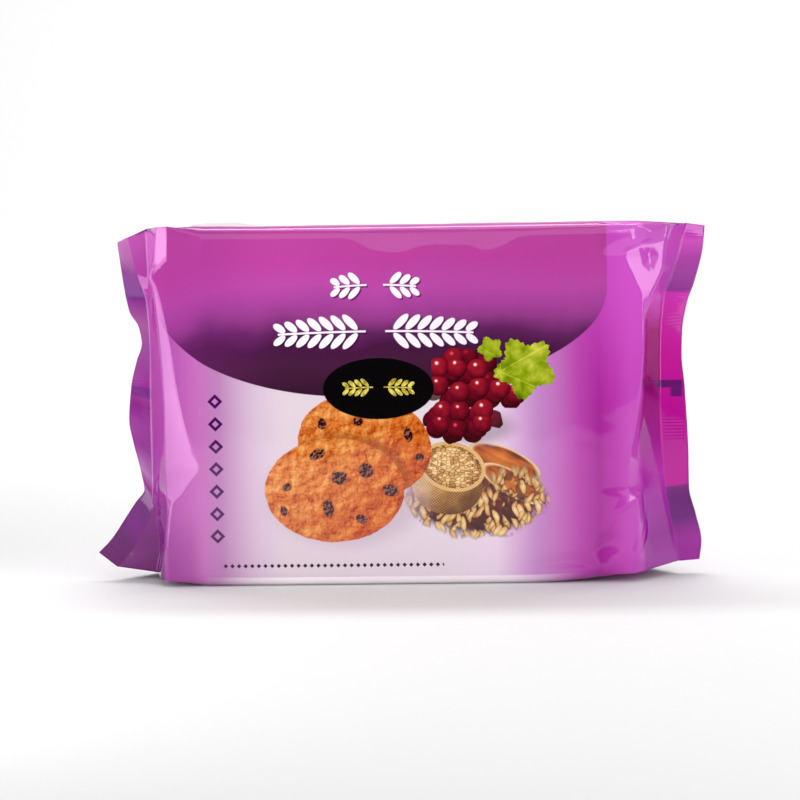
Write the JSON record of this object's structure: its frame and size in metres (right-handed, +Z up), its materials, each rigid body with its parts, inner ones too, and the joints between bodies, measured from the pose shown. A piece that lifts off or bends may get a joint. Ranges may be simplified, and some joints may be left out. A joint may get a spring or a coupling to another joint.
{
  "type": "cookie pack",
  "caption": "Flow-wrapped cookie pack: boxy film pouch with tucked ends, crimped end fins and a folded back seam, standing on its long side.",
  "frame": {"origin": "centre of the pack's bounding box, at the level of the foot that it stands on", "axes": "+X along the pack from the left fin to the right one, +Y from the printed front to the back, +Z up"},
  "size_m": [0.2428, 0.0472, 0.1419],
  "materials": {
    "film": "glossy printed film"
  },
  "bodies": {
    "root": {"wrapper": "film"}
  },
  "joints": []
}
